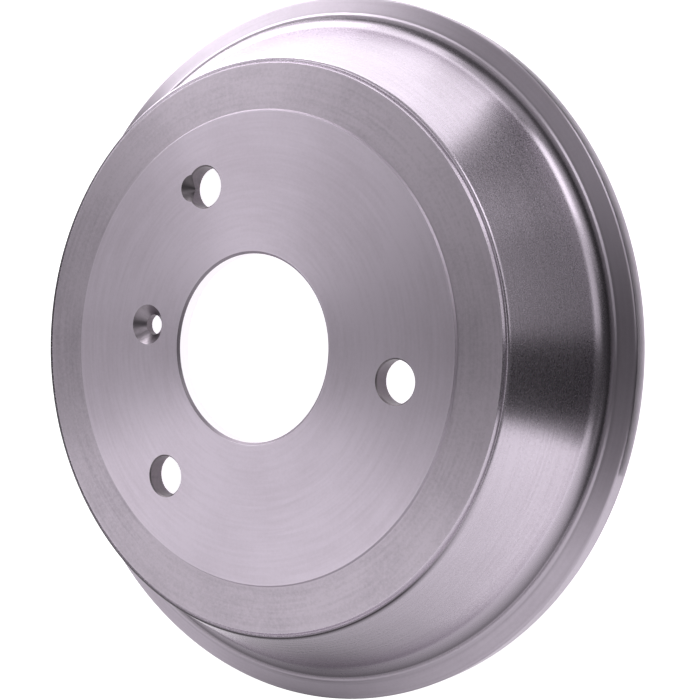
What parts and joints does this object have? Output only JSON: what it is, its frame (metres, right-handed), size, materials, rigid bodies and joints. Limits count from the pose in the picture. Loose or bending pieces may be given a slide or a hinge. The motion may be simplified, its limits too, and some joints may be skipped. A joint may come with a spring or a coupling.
{
  "type": "brake drum",
  "caption": "Turned cast iron brake drum: flat wheel face with bore and bolt holes, tapered barrel, rim flange and a cylindrical lining track inside.",
  "frame": {"origin": "centre of the plane of the open rim, on the drum's axis", "axes": "+Z along the drum's axis, out of the closed wheel face; +X through one of the wheel bolt holes"},
  "size_m": [0.2354, 0.2354, 0.039],
  "materials": {
    "cast_iron": "bare, fine turned all over, satin"
  },
  "bodies": {
    "root": {"brake_drum": "cast_iron"}
  },
  "joints": []
}
